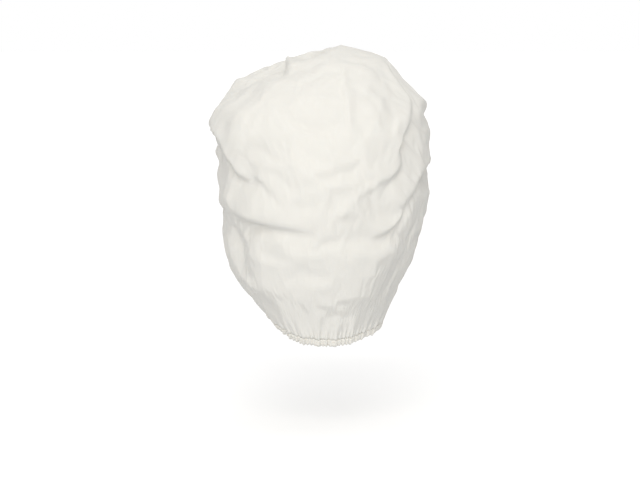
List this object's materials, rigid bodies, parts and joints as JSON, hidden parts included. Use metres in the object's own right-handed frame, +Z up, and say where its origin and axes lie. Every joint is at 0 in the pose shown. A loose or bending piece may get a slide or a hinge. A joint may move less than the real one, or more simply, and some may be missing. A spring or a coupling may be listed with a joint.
{
  "type": "disposable hair cover cap",
  "caption": "Slack non-woven hair cover cap with an elastic hem, shown as worn: soft folds over the crown, gathered round brow, cheeks and nape.",
  "frame": {"origin": "the topmost point of the head that wears the cap, just under the fabric", "axes": "+Z up, +Y towards the wearer's face, the back of the cap towards -Y, +X to the right as seen from behind"},
  "size_m": [0.1833, 0.2087, 0.2479],
  "materials": {
    "nonwoven_fabric": "matt white spunbond non-woven, crinkled",
    "elastic_hem_fabric": "matt white non-woven folded over an elastic thread and stitched"
  },
  "bodies": {
    "root": {"crown_sheet": "nonwoven_fabric", "elastic_hem": "elastic_hem_fabric"}
  },
  "joints": []
}
